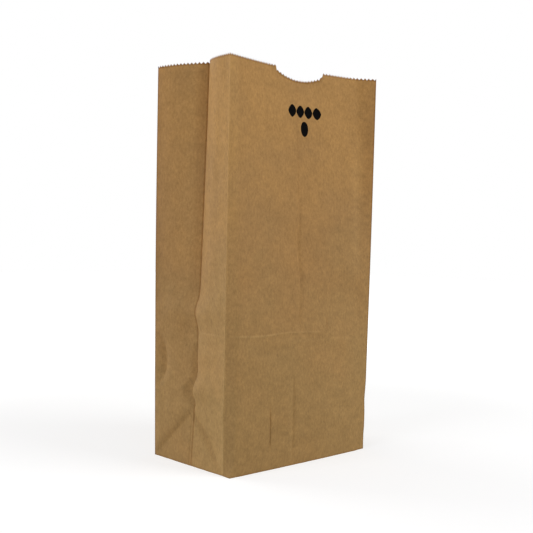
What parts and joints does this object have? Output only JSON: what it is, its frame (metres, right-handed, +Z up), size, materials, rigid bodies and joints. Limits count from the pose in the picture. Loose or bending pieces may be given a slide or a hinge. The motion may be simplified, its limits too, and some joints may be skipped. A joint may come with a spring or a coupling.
{
  "type": "paper lunch bag",
  "caption": "Open, square-bottomed brown kraft paper bag with side gussets, a serrated mouth and a thumb notch.",
  "frame": {"origin": "middle of the base, on the surface that the bag stands on", "axes": "+Z up out of the mouth, +Y from the front panel (with the thumb notch) to the back panel, +X to the right seen from the front"},
  "size_m": [0.1365, 0.0876, 0.2778],
  "materials": {
    "kraft_paper": "matte, fibrous, unbleached brown kraft"
  },
  "bodies": {
    "root": {"folded_paper_bag": "kraft_paper"}
  },
  "joints": []
}
